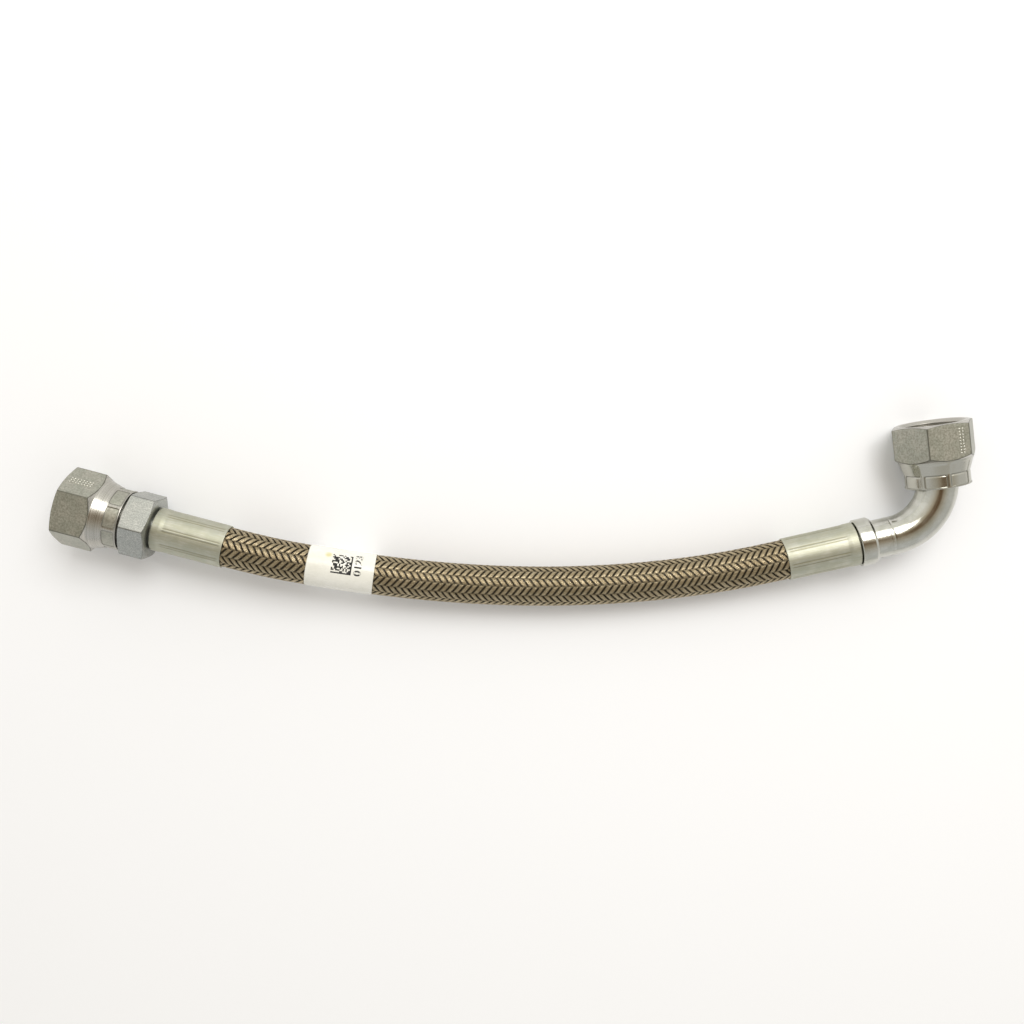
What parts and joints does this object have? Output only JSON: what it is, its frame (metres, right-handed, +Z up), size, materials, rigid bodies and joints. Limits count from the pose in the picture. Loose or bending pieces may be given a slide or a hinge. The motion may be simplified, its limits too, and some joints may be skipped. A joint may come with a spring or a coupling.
{
  "type": "braided supply line",
  "caption": "Short wire-braided hose assembly: crimped straight swivel fitting at one end, crimped swept-elbow swivel fitting at the other.",
  "frame": {"origin": "on the surface the part lies on, under the middle of the box round both end fittings", "axes": "+X from the straight end towards the elbow end, +Y the way the elbow's mouth points (9 degrees off), +Z up"},
  "size_m": [0.4563, 0.0967, 0.0349],
  "materials": {
    "nut": "zinc plated, satin",
    "stem": "zinc plated, fine satin",
    "ferrule": "zinc plated, crimp marked",
    "elbow": "zinc plated, bright",
    "braze": "plated over",
    "braid": "woven stainless wire, warm tint",
    "liner": "smooth, conductive black",
    "label": "glossy printed film"
  },
  "bodies": {
    "hose_assembly": {"stem_a": "stem", "ferrule_a": "ferrule", "hose_liner": "liner", "wire_braid": "braid", "id_label": "label", "ferrule_b": "ferrule", "stem_b": "elbow", "braze_ring_stem": "braze", "elbow_tube": "elbow", "braze_ring_head": "braze", "seat_head_b": "elbow"},
    "nut_a": {"swivel_nut_a": "nut"},
    "nut_b": {"swivel_nut_b": "nut"}
  },
  "joints": [
    {"name": "swivel_a", "type": "hinge", "parent": "hose_assembly", "child": "nut_a", "pos_m": [-0.20641, -0.00726, 0.01745], "axis": [-0.9659, 0.2588, 0], "continuous": true},
    {"name": "swivel_b", "type": "hinge", "parent": "hose_assembly", "child": "nut_b", "pos_m": [0.20861, 0.02072, 0.01745], "axis": [-0.1599, 0.9871, 0], "continuous": true}
  ]
}
